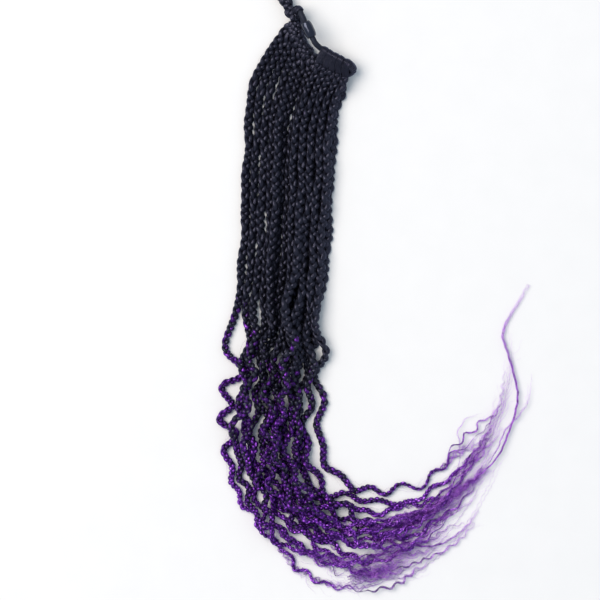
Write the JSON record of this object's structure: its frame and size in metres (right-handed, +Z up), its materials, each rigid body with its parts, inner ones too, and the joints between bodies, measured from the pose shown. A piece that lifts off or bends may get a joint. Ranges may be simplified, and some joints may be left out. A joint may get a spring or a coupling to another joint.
{
  "type": "braided ponytail",
  "caption": "Braided ponytail hairpiece: black box braids looped on a hair elastic, crimped and purple towards the loose ends, with a thicker wrap braid at one end of the elastic.",
  "frame": {"origin": "middle of the bounding box, on the table the ponytail lies on", "axes": "+Z up from the table, +Y along the straight braids towards the elastic, +X to the side the tail sweeps to"},
  "size_m": [0.2394, 0.5186, 0.0255],
  "materials": {
    "hair_ombre": "synthetic hair, soft sheen, black turning purple",
    "hair_black": "synthetic hair, soft sheen, black",
    "elastic": "matt black knitted cover over rubber",
    "sleeve": "smooth gloss black"
  },
  "bodies": {
    "root": {"elastic_band": "elastic", "joint_sleeve": "sleeve", "wrap_braid": "hair_black", "braid_01": "hair_ombre", "braid_02": "hair_ombre", "braid_03": "hair_ombre", "braid_04": "hair_ombre", "braid_05": "hair_ombre", "braid_06": "hair_ombre", "braid_07": "hair_ombre", "braid_08": "hair_ombre", "braid_09": "hair_ombre", "braid_10": "hair_ombre", "braid_11": "hair_ombre", "braid_12": "hair_ombre", "braid_13": "hair_ombre", "braid_14": "hair_ombre", "braid_15": "hair_ombre", "braid_16": "hair_ombre", "braid_17": "hair_ombre"}
  },
  "joints": []
}
